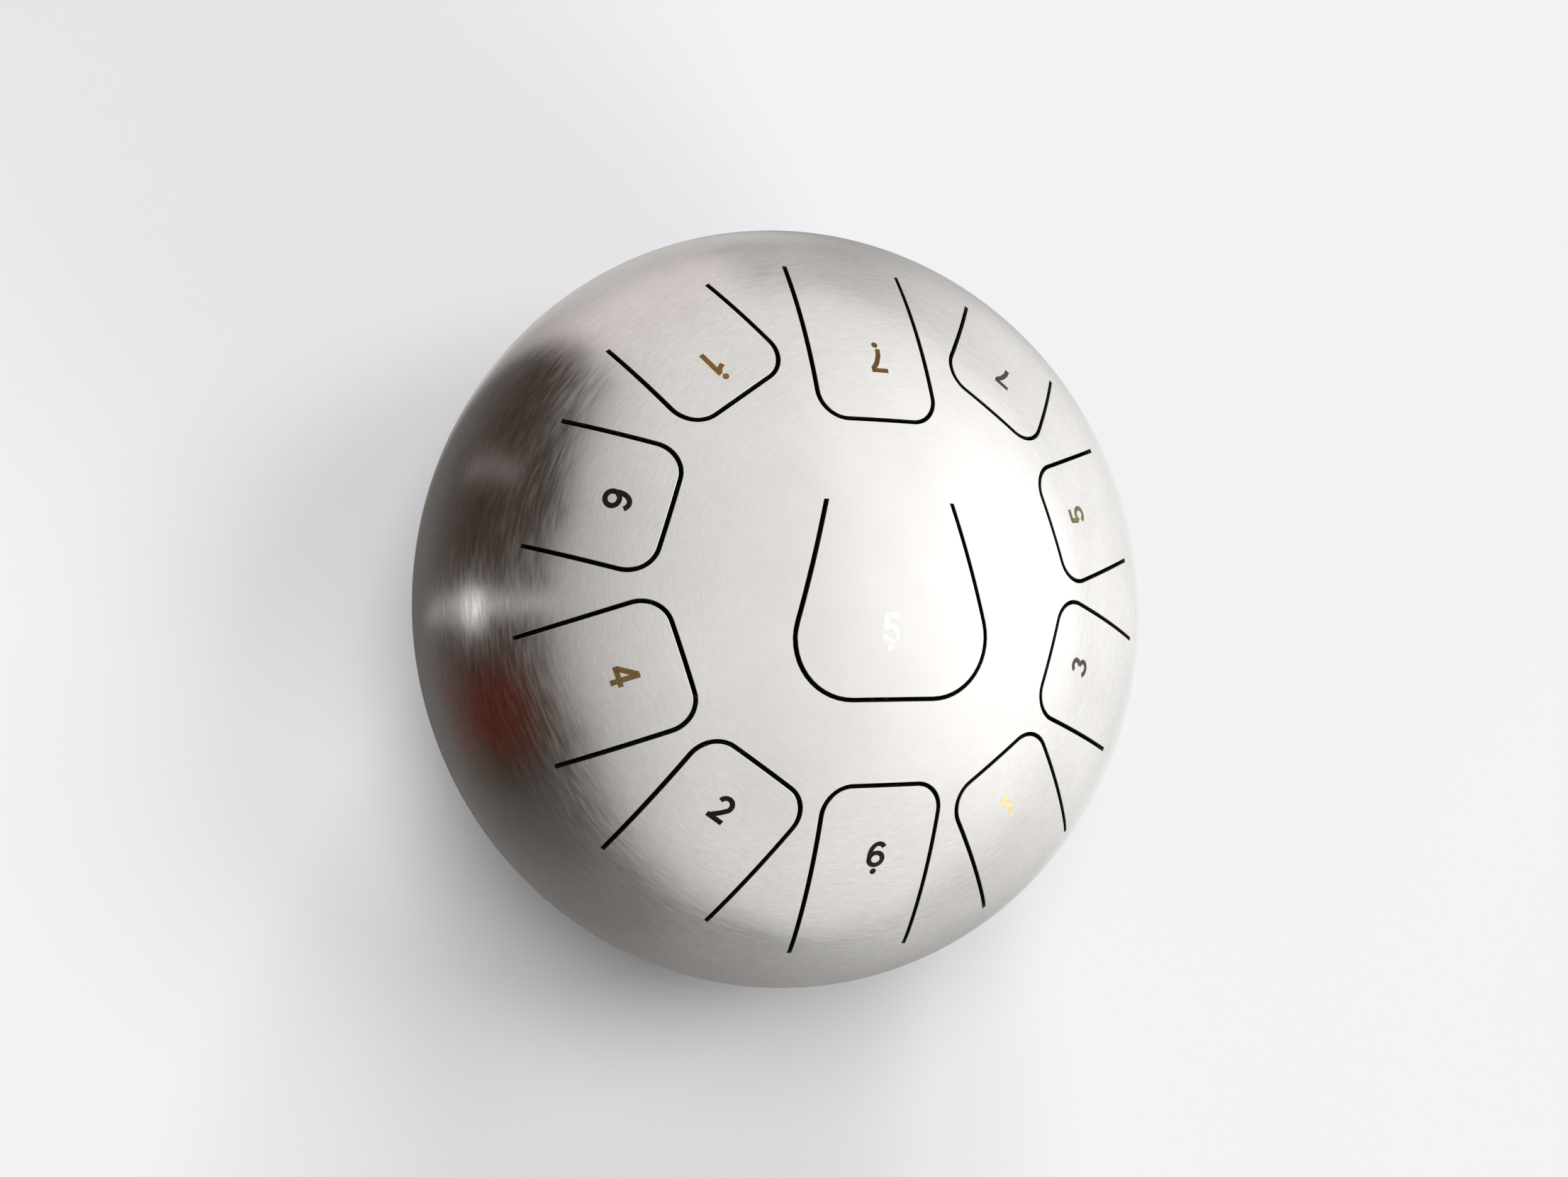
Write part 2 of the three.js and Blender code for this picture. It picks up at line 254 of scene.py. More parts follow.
def numeral_lines(digit):
    """Centre lines of a numeral's strokes."""
    lines = {
        "1": [[(0.43, 0.0), (0.43, 1.0)], [(0.40, 0.90), (0.27, 0.78), (0.10, 0.71)]],
        "2": [np.r_[arc(0.35, 0.67, 0.24, 0.235, 172, -30), [(0.40, 0.36), (0.12, 0.09)]],
              [(0.03, 0.1), (0.69, 0.1)]],
        "3": [arc(0.34, 0.72, 0.20, 0.185, 165, -80), arc(0.34, 0.305, 0.25, 0.21, 82, -165)],
        "4": [[(0.47, 0.95), (0.07, 0.31)], [(0.0, 0.3), (0.72, 0.3)], [(0.5, 0.0), (0.5, 1.0)]],
        "5": [[(0.17, 0.9), (0.66, 0.9)], [(0.22, 0.95), (0.14, 0.5)],
              arc(0.34, 0.33, 0.25, 0.235, 150, -165)],
        "6": [arc(0.35, 0.32, 0.26, 0.235, -20, 200), arc(0.35, 0.32, 0.26, 0.235, 180, 380),
              arc(0.39, 0.50, 0.30, 0.405, 195, 42)],
        "7": [[(0.03, 0.9), (0.68, 0.9)], [(0.62, 0.86), (0.42, 0.58), (0.31, 0.30), (0.27, 0.0)]],
    }
    return [np.array(line, float) for line in lines[digit]]


def stroke_outline(line, half):
    """Closed outline of a stroke with flat ends."""
    ahead = np.diff(line, axis=0)
    ahead /= np.linalg.norm(ahead, axis=1)[:, None]
    along = np.vstack([ahead[:1], ahead[:-1] + ahead[1:], ahead[-1:]])
    along /= np.linalg.norm(along, axis=1)[:, None]
    side = np.c_[-along[:, 1], along[:, 0]] * half
    return np.vstack([line + side, (line - side)[::-1]])


def numeral_outlines(note, sizes):
    """Outlines of a numeral and its octave dot, in mm about its middle."""
    height, half = sizes.mark_height * MM, sizes.mark_stroke * MM / 2
    size = (height * sizes.mark_width, height)
    outlines = [stroke_outline((line - NUMERAL_MIDDLE) * size, half) for line in numeral_lines(note[-1])]
    if "_" in note:
        rise = DOT_RISE if note.startswith("high") else -DOT_RISE
        outlines.append(circle(DOT_RADIUS, DOT_POINTS, (0.0, rise)) * height)
    return outlines


# Outlines of the tongues in plan, in mm, with u from tip to root

CORNER_POINTS = 15


def tongue_plans(sizes):
    """Each tongue's place and sizes, with its ends read from the frame."""
    plans = []
    for i, note in enumerate((*RING_NOTES, CENTRE_NOTE)):
        centre = note == CENTRE_NOTE
        turn = CENTRE_TURN if centre else FIRST_TURN + 2 * math.pi * i / len(RING_NOTES)
        ahead = np.array([math.cos(turn), math.sin(turn)])
        points = np.array([v.co[:2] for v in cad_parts[f"tongue_{note}"].data.vertices]) @ ahead * MM
        plans.append(SimpleNamespace(
            note=note,
            ahead=ahead,
            side=np.array([-ahead[1], ahead[0]]),
            root=points.max() + sizes.root_gap * MM,
            tip=points.min() - sizes.slot_width * MM / 2,
            root_half=(sizes.centre_neck if centre else sizes.ring_half_width + sizes.root_flare) * MM,
            tip_half=(sizes.centre_half_width if centre else sizes.ring_half_width) * MM,
            corner=(sizes.centre_corner if centre else sizes.tip_corner) * MM,
        ))
    return plans


def tongue_path(plan, outwards, step):
    """Open path round a tongue from root to root, moved outwards from the slot's middle."""
    slope = math.atan2(plan.tip_half - plan.root_half, plan.root - plan.tip)
    radius = plan.corner + outwards
    edge = plan.tip - outwards

    def side_at(u):
        return plan.root_half + (plan.root - u) * math.tan(slope) + outwards / math.cos(slope)

    centre_u = edge + radius
    centre_v = side_at(centre_u) - radius / math.cos(slope)
    turns = np.linspace(math.pi / 2 - slope, math.pi, CORNER_POINTS)
    corner = np.c_[centre_u + radius * np.cos(turns), centre_v + radius * np.sin(turns)]
    count = max(2, round((plan.root - plan.tip) / step))
    sides = np.linspace((plan.root, side_at(plan.root)), corner[0], count + 1)[:-1]
    half_tip = np.linspace(corner[-1], (edge, 0.0), max(2, round(centre_v / step)) + 1)[1:]
    one = np.vstack([sides, corner, half_tip])
    return np.vstack([one, one[-2::-1] * (1, -1)])


def root_points(plan, sizes, step):
    """Points along a tongue's root, which the tongue and the shell share."""
    reach = plan.root_half - sizes.slot_width * MM / 2 - sizes.edge_break * MM
    across = np.linspace(-reach, reach, 2 * round(reach / step) + 1)
    return np.c_[np.full(len(across), plan.root), across]


def to_plan(plan, points):
    return points[:, :1] * plan.ahead + points[:, 1:] * plan.side


def cut_sizes(sizes):
    """Mesh step, bevel and half the slot's width, in mm."""
    return sizes.mesh_step * MM, sizes.edge_break * MM, sizes.slot_width * MM / 2


# Curved sheets of steel with cut edges

# Finishes of a sheet, in the order of its materials
BRUSHED, MARKED, RAW, CUT = range(4)
# Mesh steps from the top plate's edge to the rim, and from loose points to an edge, a hole and a mark
LAND_STEPS, EDGE_STEPS, HOLE_STEPS, MARK_STEPS = 4, 0.5, 0.4, 0.1
# Mesh step and bevels of the bottom shell against those of the top
BOTTOM_STEP, BOTTOM_BEVEL = 2, 3
TOP_ROWS, BOTTOM_ROWS = 18, 26
SOUND_HOLE_POINTS, SCREW_HOLE_POINTS = 120, 24
# Kind of mesh that the triangulation gives, and the distance at which it joins points
WHOLE_HULL, JOIN_GAP = 0, 1e-5


def inside(points, polygon):
    hits = np.zeros(len(points), bool)
    for a, b in zip(polygon, np.roll(polygon, -1, axis=0)):
        crosses = (a[1] > points[:, 1]) != (b[1] > points[:, 1])
        rise = b[1] - a[1] if b[1] != a[1] else 1.0
        hits ^= crosses & (points[:, 0] < (b[0] - a[0]) * (points[:, 1] - a[1]) / rise + a[0])
    return hits


def distance_to(points, loop):
    """Least distance from each point to a closed loop."""
    best = np.full(len(points), np.inf)
    for a, b in zip(loop, np.roll(loop, -1, axis=0)):
        along = b - a
        share = np.clip(((points - a) @ along) / max(along @ along, TINY), 0, 1)
        best = np.minimum(best, np.linalg.norm(points - a - share[:, None] * along, axis=1))
    return best


def turns_round(count):
    return np.arange(count) * 2 * math.pi / count


def circle(radius, count, centre=(0.0, 0.0)):
    turns = turns_round(count)
    return np.c_[np.cos(turns), np.sin(turns)] * radius + centre


def rows_of_points(reach, step):
    """Points in staggered rings about the axis."""
    found = [np.zeros((1, 2))]
    for i in range(1, int(reach / step)):
        count = round(2 * math.pi * i)
        turns = (np.arange(count) + 0.5 * (i % 2)) * 2 * math.pi / count
        found.append(np.c_[np.cos(turns), np.sin(turns)] * i * step)
    return np.vstack(found)


def plate_points(reach, step, holes, gap):
    """Points on a round plate, clear of its edge and holes."""
    points = rows_of_points(reach, step)
    clear = np.linalg.norm(points, axis=1) < reach - EDGE_STEPS * step
    for hole in holes:
        clear &= ~inside(points, hole) & (distance_to(points, hole) > gap)
    return points[clear]


def shade_smooth(mesh, is_smooth, join=0.0):
    """Turns the faces outwards and smooths the mesh, apart from its sharp edges."""
    work = bmesh.new()
    work.from_mesh(mesh)
    if join:
        bmesh.ops.remove_doubles(work, verts=work.verts, dist=join)
    bmesh.ops.recalc_face_normals(work, faces=work.faces)
    for part in work.faces:
        part.smooth = True
    for line in work.edges:
        line.smooth = is_smooth(line)
    work.to_mesh(mesh)
    work.free()


def new_mesh(name, points, faces, finishes):
    mesh = bpy.data.meshes.new(name)
    mesh.from_pydata(points.tolist(), [], faces)
    for finish in finishes:
        mesh.materials.append(finish)
    return mesh


def put(name, data):
    made = bpy.data.objects.new(name, data)
    bpy.context.scene.collection.objects.link(made)
    return made


class Sheet:
    """A sheet of steel in the making: points, their directions, and faces in groups."""

    OUTER, INNER, EDGE = range(3)

    def __init__(self, lift, wall):
        self.lift, self.wall = lift, wall
        self.points, self.normals = [], []
        self.faces = []
        self.edge_groups = self.EDGE

    def add(self, plan_points, depth):
        """Numbers of new points at a depth below the outer face."""
        place, normal = self.lift(np.asarray(plan_points, float))
        return self.add_points(place - normal * depth, normal)

    def add_points(self, place, normal):
        first = len(self.points)
        self.points.extend(place)
        self.normals.extend(normal)
        return list(range(first, first + len(place)))

    def face(self, corners, group, finish):
        self.faces.append((corners, group, finish))

    def strip(self, one, two, closed, finish, group=None):
        """A band of faces between two rows of points."""
        if group is None:
            self.edge_groups += 1
            group = self.edge_groups
        if closed:
            one, two = [*one, one[0]], [*two, two[0]]
        for corners in zip(one, one[1:], two[1:], two):
            self.face(corners, group, finish)

    def plate(self, boundary, holes, grain, marks=()):
        """Outer and inner face between counterclockwise loops. Gives the numbers of each loop's points."""
        loops = [boundary, *holes]
        outlines = [*loops, *marks]
        points = [Vector(point) for point in np.vstack([*outlines, grain])]
        starts = np.cumsum([0, *map(len, outlines)]).tolist()
        rows = [list(range(a, b)) for a, b in zip(starts, starts[1:])]
        edges = [pair for row in rows for pair in zip(row, row[1:] + row[:1])]
        areas = rows[:len(loops)]
        found, _, tris, origin, _, owners = delaunay_2d_cdt(points, edges, areas, WHOLE_HULL, JOIN_GAP)
        flat = np.array([v[:] for v in found])
        tris = np.array([list(t) for t in tris])
        middles = flat[tris].mean(axis=1)
        keep = np.array([set(owner) == {0} for owner in owners])
        marked = np.zeros(len(tris), bool)
        for mark in marks:
            marked |= inside(middles, mark)
        outer, inner = self.add(flat, 0.0), self.add(flat, self.wall)
        for tri, dark in zip(tris[keep], marked[keep]):
            self.face(tuple(outer[k] for k in tri), self.OUTER, MARKED if dark else BRUSHED)
            self.face(tuple(inner[k] for k in tri[::-1]), self.INNER, RAW)
        place_of = {old: new for new, olds in enumerate(origin) for old in olds}
        mine = [[place_of[k] for k in row] for row in areas]
        return [([outer[k] for k in row], [inner[k] for k in row]) for row in mine]

    def cut_edge(self, outer, inner, brim, bevel, chord=0):
        """Bevels and wall along a cut. The loop's last points, chord of them, run along an uncut root."""
        count = len(outer) - chord
        up, low = self.add(brim, bevel), self.add(brim, self.wall - bevel)
        closed = chord == 0
        self.strip(outer[:count], up, closed, BRUSHED)
        self.strip(up, low, closed, CUT)
        self.strip(low, inner[:count], closed, CUT)
        if closed:
            return
        self.edge_groups += 1
        tops = [*outer[count - 1:], outer[0]]
        feet = [*inner[count - 1:], inner[0]]
        for here, there, high, deep in ((0, 1, up[-1], low[-1]), (-1, -2, up[0], low[0])):
            self.face((tops[here], tops[there], high), self.edge_groups, CUT)
            self.face((high, tops[there], feet[there], deep), self.edge_groups, CUT)
            self.face((deep, feet[there], feet[here]), self.edge_groups, CUT)
        self.strip(tops[1:-1], feet[1:-1], False, CUT, self.edge_groups)

    def rings(self, outer, inner, rows):
        """Turned part of a shell beyond its plate, closed at the rim."""
        for place, normal in rows:
            next_outer = self.add_points(place, normal)
            next_inner = self.add_points(place - normal * self.wall, normal)
            self.strip(outer, next_outer, True, BRUSHED, self.OUTER)
            self.strip(inner, next_inner, True, RAW, self.INNER)
            outer, inner = next_outer, next_inner
        self.strip(outer, inner, True, CUT)

    def build(self, name, finishes):
        """The finished object, smooth along its faces and sharp where they meet."""
        faces, groups, kinds = zip(*self.faces)
        used = sorted({corner for face in faces for corner in face})
        number = {old: new for new, old in enumerate(used)}
        points = np.array(self.points)[used]
        normals = np.array(self.normals)[used]
        mesh = new_mesh(name, points / MM, [[number[c] for c in face] for face in faces], finishes)
        mesh.polygons.foreach_set("material_index", kinds)
        shade_smooth(mesh, lambda line: len({groups[f.index] for f in line.link_faces}) == 1)
        signs = {self.OUTER: 1.0, self.INNER: -1.0}
        shading = np.zeros((len(mesh.loops), 3))
        for part in mesh.polygons:
            sign = signs.get(groups[part.index], 0.0)
            for loop in part.loop_indices:
                shading[loop] = sign * normals[mesh.loops[loop].vertex_index]
        mesh.normals_split_custom_set(shading.tolist())
        return put(name, mesh)


# Profiles of the two shells, in mm

RIM_HEIGHT = (WELD_LOW.z + WELD_HIGH.z) / 2 * MM
WELD_HALF = (WELD_HIGH.z - WELD_LOW.z) / 2 * MM


def dome_lift(sizes):
    """Gives the place and direction of the domed top above points in plan."""
    crown, shoulder = sizes.crown_radius * MM, sizes.shoulder_radius * MM
    ring = sizes.drum_radius * MM - shoulder
    centre = RIM_HEIGHT - math.sqrt((crown - shoulder) ** 2 - ring ** 2)
    join = crown * ring / (crown - shoulder)

    def lift(points):
        reach = np.linalg.norm(points, axis=1)
        on_crown = reach < join
        z_crown = np.sqrt(crown ** 2 - reach ** 2)
        z_ring = np.sqrt(np.maximum(shoulder ** 2 - (reach - ring) ** 2, 0))
        ahead = points / np.maximum(reach, TINY)[:, None]
        lean = np.where(on_crown, reach / crown, (reach - ring) / shoulder)
        rise = np.where(on_crown, z_crown / crown, z_ring / shoulder)
        height = np.where(on_crown, centre + z_crown, RIM_HEIGHT + z_ring)
        return np.c_[points, height], np.c_[ahead * lean[:, None], rise]

    return lift


def shoulder_rows(ring, radius, start, steps, count, down):
    """Rings of points round a shoulder, from an angle to the weld."""
    end = math.asin(WELD_HALF / radius)
    ahead = circle(1.0, count)
    for lean in np.linspace(start, end, steps + 1)[1:]:
        reach, rise = ring + radius * math.cos(lean), math.sin(lean) * (-1 if down else 1)
        height = np.full(count, RIM_HEIGHT + radius * rise)
        normal = np.c_[ahead * math.cos(lean), np.full(count, rise)]
        yield np.c_[ahead * reach, height], normal


# Turned and six-sided small pieces, in mm

# Gap that the frame leaves between fitted pieces
CLEARANCE = 0.3
FOOT_POINTS, FASTENER_POINTS, NUT_POINTS = 72, 48, 72
SHARP_ANGLE = math.radians(30)
WELD_ROWS = 9
DOUBLE_GAP = 1e-7
# Socket of a screw from tip to mouth: share of its reach, and height above the head's face
SOCKET = ((0.0, 1.05), (0.98, 0.9), (1.0, 0.05), (1.05, 0.0))


def box_of(node):
    return [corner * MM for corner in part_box(node)]


def middle_of(node):
    """Middle of a node in plan, in m."""
    low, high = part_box(node)
    return (low.x + high.x) / 2, (low.y + high.y) / 2, 0


def hexagon(turns):
    """Reach in each direction of a hexagon whose flats are at reach 1."""
    return 1 / np.cos((turns % (math.pi / 3)) - math.pi / 6)


def turned(name, rows, finish, centre, closed=True):
    """A solid from rows of radius and height, each a number or one value per step round the axis."""
    count = max(np.size(r) for r, _ in rows)
    around = circle(1.0, count)
    points = []
    for reach, height in rows:
        points.append(np.c_[around * np.broadcast_to(reach, count)[:, None], np.broadcast_to(height, count)])
    one = np.arange(len(rows) * count).reshape(-1, count)
    two = np.roll(one, -1, axis=0)
    corners = np.stack([one, np.roll(one, -1, axis=1), np.roll(two, -1, axis=1), two], axis=2)
    faces = corners[:len(rows) if closed else -1].reshape(-1, 4)
    mesh = new_mesh(name, np.vstack(points) / MM + centre, faces.tolist(), [finish])
    shade_smooth(mesh, lambda line: line.calc_face_angle(0.0) < SHARP_ANGLE, DOUBLE_GAP)
    return put(name, mesh)


def rounded(corners, radii, count, steps=6):
    """Rows for a turned solid from a closed row of square corners, rounded where a radius isn't zero."""
    places = np.array(corners, float)
    rows = []
    for i, (here, size) in enumerate(zip(places, radii)):
        back, ahead = np.sign(places[i - 1] - here), np.sign(places[(i + 1) % len(places)] - here)
        for share in np.linspace(0, 1, steps + 1) if size else (0.0,):
            ray = ahead * (1 - share) + back * share
            rows.append(here + size * (back + ahead - ray / np.linalg.norm(ray)))
    return [(np.full(count, reach), height) for reach, height in rows]


# Finishes

SHELL_ROUGHNESS, SHELL_BUMP = 0.205, 0.085
WELD_ROUGHNESS, WELD_BUMP = 0.3, 0.16
ANISOTROPY = 0.4
# Fine strokes that lean to either side, broad ones, scratches: length, width and lean in m, and start
STROKES = (
    (0.0021, 0.00020, 0.0026, (0.0, 0.0, 0.3)),
    (0.0016, 0.00015, 0.0026, (0.5, 0.2, 0.0)),
    (0.0055, 0.00060, 0.0015, (0.1, 0.7, 0.2)),
    (0.0030, 0.00011, 0.0045, (0.8, 0.4, 0.6)),
)
SWAY_SCALE = 75.0
BROAD_SHARE = 0.14
STROKE_DEPTH = 0.00004
# Radius in m that turns the climb's angle into a length
CLIMB_RADIUS = 0.08
# Radii in m between which the strokes grow, and their faint and full share
FADE = (0.015, 0.052, 0.06, 1.0)
# Ranges that noises are moved from, some with the range that they are moved to
NOISE_RANGE = (0.3, 0.7)
STROKE_RANGE = (0.36, 0.64)
SCRATCH_RANGE = (0.62, 0.72, 0.0, 0.6)
STAIN_RANGE = (0.35, 0.7, 0.94, 1.03)
DUST_RANGE = (0.45, 0.75, 0.0, 0.6)
BLOOM_RANGE = (0.35, 0.65)
# What strokes and clouds add to the steel's roughness
STROKE_WEAR = 0.04
CLOUD_WEAR = (-0.03, 0.04)
# Shades and roughness of the marks, and the power that their green follows the shade by
MARK_SHADES, MARK_ROUGHNESS, MARK_GREEN = (0.75, 1.15), (0.16, 0.26), 1.15
# Lengths along x, y and z that make the cutting beam's lines upright
CUT_STRETCH = (1, 1, 0.12)
RUBBER_DUST = (0.06, 0.06, 0.058)
ZINC_BLOOM = (0.66, 0.645, 0.59)
PAPER_LIGHT = 1.03


def colour(value):
    return (*value, 1.0)


class Nodes:
    """A node tree in the making."""

    def __init__(self, tree):
        self.tree = tree

    def feed(self, socket, source):
        """Links a socket to another node's output, or sets its value."""
        if hasattr(source, "is_output"):
            self.tree.links.new(source, socket)
        else:
            socket.default_value = source

    def node(self, kind, sources=(), **settings):
        made = self.tree.nodes.new("ShaderNode" + kind)
        for key, value in settings.items():
            setattr(made, key, value)
        for socket, source in sources:
            self.feed(made.inputs[socket], source)
        return made

    def math(self, operation, *values):
        return self.node("Math", enumerate(values), operation=operation).outputs[0]

    def vector(self, operation, *values, output="Vector"):
        return self.node("VectorMath", enumerate(values), operation=operation).outputs[output]

    def noise(self, vector, scale, detail=2.0, roughness=0.5):
        sources = (("Vector", vector), ("Scale", scale), ("Detail", detail), ("Roughness", roughness))
        return self.node("TexNoise", sources).outputs[0]

    def spread(self, value, low, high, to_low=0.0, to_high=1.0):
        return self.node("MapRange", enumerate((value, low, high, to_low, to_high))).outputs[0]

    def grade(self, noise, to_low=0.0, to_high=1.0):
        return self.spread(noise, *NOISE_RANGE, to_low, to_high)

    def mix(self, share, one, two, blend="MIX"):
        """Mixes colours, on the node's colour sockets."""
        sources = ((0, share), (6, one), (7, two))
        return self.node("Mix", sources, data_type="RGBA", blend_type=blend).outputs[2]

    def between(self, share, one, two):
        """Mixes numbers, on the node's number sockets."""
        return self.node("Mix", ((0, share), (2, one), (3, two))).outputs[0]

    def join(self, x, y, z):
        return self.node("CombineXYZ", enumerate((x, y, z))).outputs[0]

    def split(self, vector):
        return self.node("SeparateXYZ", ((0, vector),)).outputs


class Finish(Nodes):
    """A node material in the making."""

    def __init__(self, name):
        self.material = bpy.data.materials.new(name)
        self.material.use_nodes = True
        super().__init__(self.material.node_tree)
        self.shader = self.tree.nodes["Principled BSDF"]
        self.place = self.node("TexCoord").outputs["Object"]

    def set(self, **values):
        for name, value in values.items():
            self.feed(self.shader.inputs[name.replace("_", " ")], value)

    def tones(self, noise, tint, dark, light=1.0):
        """A tint between two shares of itself."""
        return self.mix(self.grade(noise), colour(dark * x for x in tint), colour(light * x for x in tint))

    def bump(self, height, strength, distance):
        made = self.node("Bump", (("Height", height), ("Strength", strength), ("Distance", distance)))
        self.set(Normal=made.outputs[0])

    def grained(self, tone, grain, rough, bump, metal=1.0):
        """The material in a tone, with a grain in its roughness and bump."""
        self.set(Base_Color=tone, Metallic=metal, Roughness=self.grade(grain, *rough))
        self.bump(grain, *bump)
        return self.material


def brush_strokes(finish, climb, length, width, lean, start):
    """Straight strokes round the drum, which lean a little one way or the other."""
    moved = finish.vector("ADD", finish.place, start)
    sway = finish.math("MULTIPLY", finish.noise(moved, SWAY_SCALE, detail=0.0), lean)
    x, y, _ = finish.split(moved)
    row = finish.join(x, y, finish.math("ADD", climb, sway))
    return finish.noise(finish.vector("DIVIDE", row, (length, length, width)), scale=1.0, detail=1.0)


def brushed_steel(name, look, roughness, strength):
    """Steel brushed round the drum in short fine strokes, with a few bright scratches."""
    finish = Finish(name)
    place = finish.place
    reach = finish.vector("LENGTH", finish.vector("MULTIPLY", place, (1, 1, 0)), output="Value")
    above_rim = finish.math("SUBTRACT", finish.split(place)[2], RIM_HEIGHT / MM)
    climb = finish.math("MULTIPLY", finish.math("ARCTAN2", above_rim, reach), CLIMB_RADIUS)
    left, right, broad, scratch = (brush_strokes(finish, climb, *row) for row in STROKES)
    depth = finish.spread(reach, *FADE)
    strokes = finish.between(BROAD_SHARE, finish.between(0.5, left, right), broad)
    strokes = finish.between(depth, 0.5, strokes)
    light = finish.spread(strokes, *STROKE_RANGE)
    tone = finish.mix(light, colour(look.steel_dark), colour(look.steel_light))
    scratch = finish.math("MULTIPLY", finish.spread(scratch, *SCRATCH_RANGE), depth)
    tone = finish.mix(scratch, tone, colour(look.steel_scratch))
    cloud = finish.noise(place, scale=42.0, detail=3.0, roughness=0.55)
    stain = finish.spread(cloud, *STAIN_RANGE)
    tone = finish.mix(1.0, tone, stain, "MULTIPLY")
    worn = finish.grade(broad, roughness - STROKE_WEAR, roughness + STROKE_WEAR)
    rough = finish.math("ADD", worn, finish.grade(cloud, *CLOUD_WEAR))
    across = finish.vector("CROSS_PRODUCT", (0, 0, 1), place)
    upwards = finish.vector("CROSS_PRODUCT", finish.node("NewGeometry").outputs["Normal"], across)
    finish.set(Base_Color=tone, Metallic=1.0, Roughness=rough, Anisotropic=ANISOTROPY,
               Tangent=finish.vector("NORMALIZE", upwards))
    finish.bump(strokes, strength, STROKE_DEPTH)
    return finish.material


def raw_steel_in_painted_shade(name, look):
    """Dull steel of the inside, as it came from the press, darkened as painted shade inside the drum."""
    finish = Finish(name)
    cloud = finish.noise(finish.place, scale=90.0, detail=4.0, roughness=0.6)
    tone = finish.tones(cloud, look.raw_steel_in_painted_shade, dark=0.7)
    return finish.grained(tone, cloud, rough=(0.45, 0.65), bump=(0.2, 0.0001))


def cut_steel(name, look):
    """Walls of the cuts, with the fine upright lines a cutting beam leaves."""
    finish = Finish(name)
    lines = finish.noise(finish.vector("MULTIPLY", finish.place, CUT_STRETCH), scale=5200.0, detail=1.0)
    tone = finish.tones(lines, look.cut_steel, dark=0.55)
    return finish.grained(tone, lines, rough=(0.32, 0.5), bump=(0.3, 0.00004))


def heat_tint_and_reflection_finish(name):
    """Smooth oxide tint of the numerals with painted reflection in it, a little uneven along the strokes."""
    finish = Finish(name)
    # Each tongue's tint is its numeral's heat tint with the light or dark it reflects painted in
    tint = finish.node("Attribute", attribute_name="mark_tint_and_reflection").outputs["Color"]
    wave = finish.noise(finish.place, scale=700.0, detail=2.0, roughness=0.6)
    shade = finish.grade(wave, *MARK_SHADES)
    warmth = finish.join(shade, finish.math("POWER", shade, MARK_GREEN), shade)
    tone = finish.mix(1.0, tint, warmth, "MULTIPLY")
    finish.set(Base_Color=tone, Metallic=1.0, Roughness=finish.grade(wave, *MARK_ROUGHNESS))
    return finish.material


def rubber(name, look):
    """Moulded rubber with a fine grain and a little dust."""
    finish = Finish(name)
    grain = finish.noise(finish.place, scale=3600.0, detail=2.0, roughness=0.6)
    dust = finish.noise(finish.place, scale=260.0, detail=4.0, roughness=0.65)
    tone = finish.mix(finish.spread(dust, *DUST_RANGE), colour(look.rubber), colour(RUBBER_DUST))
    return finish.grained(tone, grain, rough=(0.66, 0.86), bump=(0.35, 0.00008), metal=0.0)


def zinc_plate(name, look):
    """Bright zinc plating with its faint blue and yellow bloom."""
    finish = Finish(name)
    bloom = finish.noise(finish.place, scale=420.0, detail=3.0, roughness=0.6)
    grain = finish.noise(finish.place, scale=5000.0, detail=1.0)
    tone = finish.mix(finish.spread(bloom, *BLOOM_RANGE), colour(look.zinc), colour(ZINC_BLOOM))
    return finish.grained(tone, grain, rough=(0.24, 0.38), bump=(0.1, 0.00003))


def floor_paper(name, look, shade):
    """Pale matt paper, or a disc of it darkened by the shade share as painted shade."""
    finish = Finish(name)
    tone = finish.tones(finish.noise(finish.place, scale=3.0), look.floor, shade, PAPER_LIGHT * shade)
    finish.set(Base_Color=tone, Roughness=0.9, Specular_IOR_Level=0.0)
    return finish.material


def shared(make, name, *needs):
    """A finish that several pieces share, made once."""
    return bpy.data.materials.get(name) or make(name, *needs)


def steel_finishes(look):
    """Finishes of a sheet of steel, in their order."""
    return [
        shared(brushed_steel, "brushed_steel", look, SHELL_ROUGHNESS, SHELL_BUMP),
        shared(heat_tint_and_reflection_finish, "heat_tinted_mark"),
        shared(raw_steel_in_painted_shade, "raw_steel_inside", look),
        shared(cut_steel, "cut_steel_edge", look),
    ]


# Operators

def settings(context):
    return context.scene.drum_sizes, context.scene.drum_finish


class TopShellOperator(bpy.types.Operator):
    """Domed top shell with the cuts round its tongues"""

    bl_idname = "tongue_drum.top_shell"
    bl_label = "Top Shell"

    def execute(self, context):
        sizes, look = settings(context)
        step, bevel, half = cut_sizes(sizes)
        shoulder = sizes.shoulder_radius * MM
        ring = sizes.drum_radius * MM - shoulder
        plate_reach = sizes.drum_radius * MM - LAND_STEPS * step
        boundary = circle(plate_reach, sizes.rim_steps)
        holes, brims, chords = [], [], []
        for plan in tongue_plans(sizes):
            edge = tongue_path(plan, half + bevel, step)
            corner = plan.root_half + half
            chord = np.vstack([
                [(plan.root, -corner)], root_points(plan, sizes, step), [(plan.root, corner)]])
            holes.append(to_plan(plan, np.vstack([edge, chord])))
            brims.append(to_plan(plan, tongue_path(plan, half, step)))
            chords.append(len(chord))
        grain = plate_points(plate_reach, step, holes, EDGE_STEPS * step)
        sheet = Sheet(dome_lift(sizes), sizes.wall * MM)
        (outer, inner), *cuts = sheet.plate(boundary, holes, grain)
        for (top, under), brim, chord in zip(cuts, brims, chords):
            sheet.cut_edge(top, under, brim, bevel, chord)
        start = math.acos((plate_reach - ring) / shoulder)
        sheet.rings(outer, inner, shoulder_rows(ring, shoulder, start, TOP_ROWS, sizes.rim_steps, False))
        shell = sheet.build("top_shell_steel", steel_finishes(look))
        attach(shell, "drum")
        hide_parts("top_shell")
        return {"FINISHED"}


